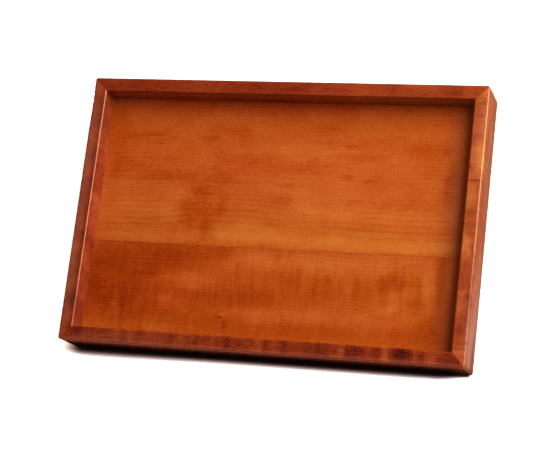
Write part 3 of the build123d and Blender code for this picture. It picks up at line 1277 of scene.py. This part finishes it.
def stage_material():
    """A pale table. The tray gets a dim bounce from it, and mirrors a card that isn't seen."""
    material, tree = new_material("pale studio floor")
    point = tree.add("ShaderNodeTexCoord").outputs["Object"]
    place = tree.add("ShaderNodeSeparateXYZ", {0: point}).outputs
    x, y = place["X"], place["Y"]
    ahead = tree.math("ADD", y, TRAY_WIDTH / 2)
    in_front = tree.math("MULTIPLY", ahead, -1.0)
    to_right = tree.span(x, *LIT_RIGHT)

    # Far from the tray the floor runs out into a white sweep
    colour = stage_colour(tree, x, y, ahead, in_front, to_right)
    paper = tree.add("ShaderNodeBsdfDiffuse", {"Color": colour})
    sweep = tree.add("ShaderNodeEmission", {"Color": WHITE, "Strength": 1.0})
    seen = tree.mix_shader(tree.span(tree.length(point), *SWEEP_ZONE), paper, sweep)

    # The card is there for mirror rays only: it gives the front wall its fade
    rays = tree.add("ShaderNodeLightPath").outputs
    card_share = tree.math(
        "MULTIPLY", tree.span(in_front, *CARD_FROM), tree.span(in_front, *CARD_TO, 1.0, 0.0)
    )
    mirrored = tree.math("MULTIPLY", rays["Is Glossy Ray"], card_share)
    bounce_colour = tree.mix(to_right, BOUNCE_DARK, BOUNCE_RIGHT)
    bounce = tree.add("ShaderNodeBsdfDiffuse", {"Color": bounce_colour})
    card = tree.add("ShaderNodeEmission", {"Color": CARD_COLOUR, "Strength": card_share})
    hidden = tree.mix_shader(mirrored, bounce, card)
    tree.finish(tree.mix_shader(rays["Is Camera Ray"], hidden, seen))
    return material


corners = [(-1, -1), (1, -1), (1, 1), (-1, 1)]
stage_mesh = bpy.data.meshes.new("studio_floor")
stage_mesh.from_pydata(
    [(STAGE_REACH * x, STAGE_REACH * y, 0) for x, y in corners], [], [(0, 1, 2, 3)]
)
stage_floor = bpy.data.objects.new("studio_floor", stage_mesh)
stage_floor.data.materials.append(stage_material())
scene.collection.objects.link(stage_floor)

# Light and camera

KEY_DIRECTION = Vector((0.60, 0.43, 0.70)).normalized()
KEY_AIM = Vector((240, 130, 0)) * MM
KEY_DISTANCE = 2.2
KEY_WIDTH = 1.75
KEY_HEIGHT = 2.4
KEY_ENERGY = 163.0

# The air: from near level to near overhead, how strong it is, and what mirrors lose of it
AIR_HEIGHTS = (0.1, 0.9)
AIR_STRENGTHS = (0.06, 0.52)
MIRRORED_AIR_LOSS = -0.75
WARM_AIR = (1.0, 0.66, 0.46, 1.0)

# The camera that the photo's straight edges fit. Its twist is how far the picture's upright is
# turned from the tray's Y axis
CAMERA_PLACE = Vector((544.12, -409.42, 1705.38)) * MM
CAMERA_AIM = Vector((-9.545, 0.9225, 0.0)) * MM
CAMERA_TWIST = math.radians(6.9677)
CAMERA_LENS = 107.79
CAMERA_SENSOR = 36.0
CAMERA_CLIP = 50.0


def turned_to(along, upward, place):
    """A matrix that stands at place, looks along a direction and keeps upward up."""
    along = along.normalized()
    sideways = along.cross(upward).normalized()
    level = sideways.cross(along)
    turn = Matrix((sideways, level, -along)).transposed().to_4x4()
    return Matrix.Translation(place) @ turn


def key_light():
    """A softbox on the right, behind and above."""
    data = bpy.data.lights.new("key softbox", "AREA")
    data.shape = "RECTANGLE"
    data.size = KEY_WIDTH
    data.size_y = KEY_HEIGHT
    data.energy = KEY_ENERGY
    key = bpy.data.objects.new("key softbox", data)
    key.matrix_world = turned_to(-KEY_DIRECTION, AXES[1], KEY_AIM + KEY_DIRECTION * KEY_DISTANCE)
    key.visible_camera = False
    scene.collection.objects.link(key)


def studio_air():
    """Warm air, brighter overhead and dimmer in mirrors, that the camera sees as plain white."""
    world = bpy.data.worlds.new("studio air")
    world.use_nodes = True
    tree = Tree(world.node_tree)
    way = tree.add("ShaderNodeTexCoord").outputs["Generated"]
    height = tree.add("ShaderNodeSeparateXYZ", {0: way}).outputs["Z"]
    rays = tree.add("ShaderNodeLightPath").outputs
    fall = tree.span(height, *AIR_HEIGHTS, *AIR_STRENGTHS)
    kept = tree.math("MULTIPLY_ADD", rays["Is Glossy Ray"], MIRRORED_AIR_LOSS, 1.0)
    strength = tree.add(
        "ShaderNodeMix",
        {0: rays["Is Camera Ray"], 2: tree.math("MULTIPLY", fall, kept), 3: 1.0},
        data_type="FLOAT",
    ).outputs[0]
    colour = tree.mix(rays["Is Camera Ray"], WARM_AIR, WHITE)
    background = tree.add("ShaderNodeBackground", {"Color": colour, "Strength": strength})
    tree.finish(background, "ShaderNodeOutputWorld")
    scene.world = world


def photo_camera():
    data = bpy.data.cameras.new("camera")
    data.sensor_width = CAMERA_SENSOR
    data.lens = CAMERA_LENS
    data.clip_end = CAMERA_CLIP
    camera = bpy.data.objects.new("camera", data)
    upward = Vector((-math.sin(CAMERA_TWIST), math.cos(CAMERA_TWIST), 0.0))
    camera.matrix_world = turned_to(CAMERA_AIM - CAMERA_PLACE, upward, CAMERA_PLACE)
    scene.collection.objects.link(camera)
    return camera


key_light()
studio_air()
scene.camera = photo_camera()
scene.view_settings.view_transform = "Standard"
scene.view_settings.look = "None"
